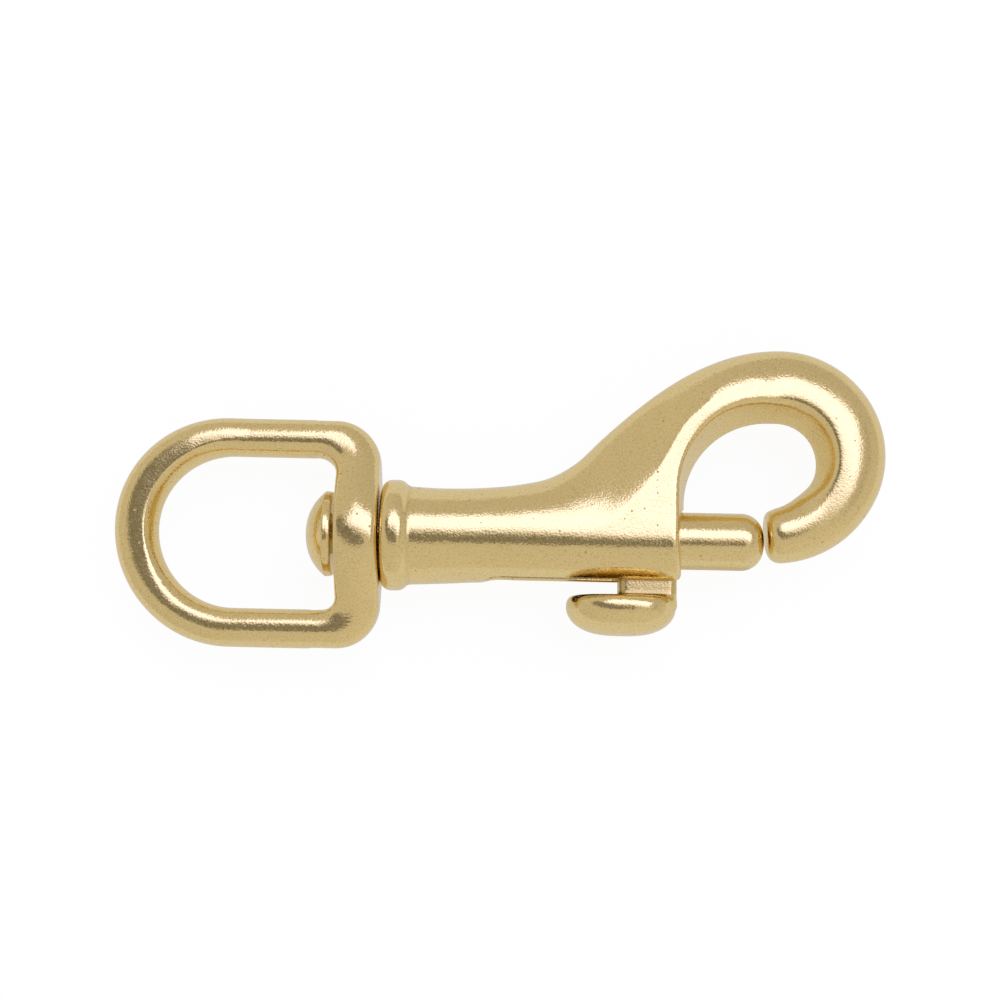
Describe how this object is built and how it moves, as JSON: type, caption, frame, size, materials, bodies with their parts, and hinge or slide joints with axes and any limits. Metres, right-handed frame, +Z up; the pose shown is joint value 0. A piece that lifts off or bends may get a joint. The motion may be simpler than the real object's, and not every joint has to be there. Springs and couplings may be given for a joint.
{
  "type": "swivel bolt snap hook",
  "caption": "Cast brass snap hook: a curved hook closed by a sprung sliding bolt with a thumb knob, on a riveted D-shaped swivel eye.",
  "frame": {"origin": "middle of the lying snap's footprint, on the surface it rests on", "axes": "+X along the barrel from the eye to the hook, +Y from the thumb knob to the top of the hook, +Z up"},
  "size_m": [0.0809, 0.0327, 0.0116],
  "materials": {
    "hook_brass": "cast and tumbled, half bright",
    "bolt_brass": "cast and tumbled, half bright",
    "eye_brass": "cast and tumbled, half bright",
    "rivet_brass": "formed, half bright",
    "spring_steel": "drawn wire"
  },
  "bodies": {
    "body": {"hook_body": "hook_brass", "swivel_rivet": "rivet_brass", "spring": "spring_steel"},
    "bolt": {"bolt": "bolt_brass"},
    "eye": {"swivel_eye": "eye_brass"}
  },
  "joints": [
    {"name": "bolt_slide", "type": "slide", "parent": "body", "child": "bolt", "axis": [-1, 0, 0], "range_m": [0, 0.0105], "stiffness_N_per_m": 400, "springref_m": -0.01, "deforming": ["spring"]},
    {"name": "eye_swivel", "type": "hinge", "parent": "body", "child": "eye", "pos_m": [-0.01507, -0.00425, 0.0058], "axis": [1, 0, 0], "continuous": true}
  ]
}
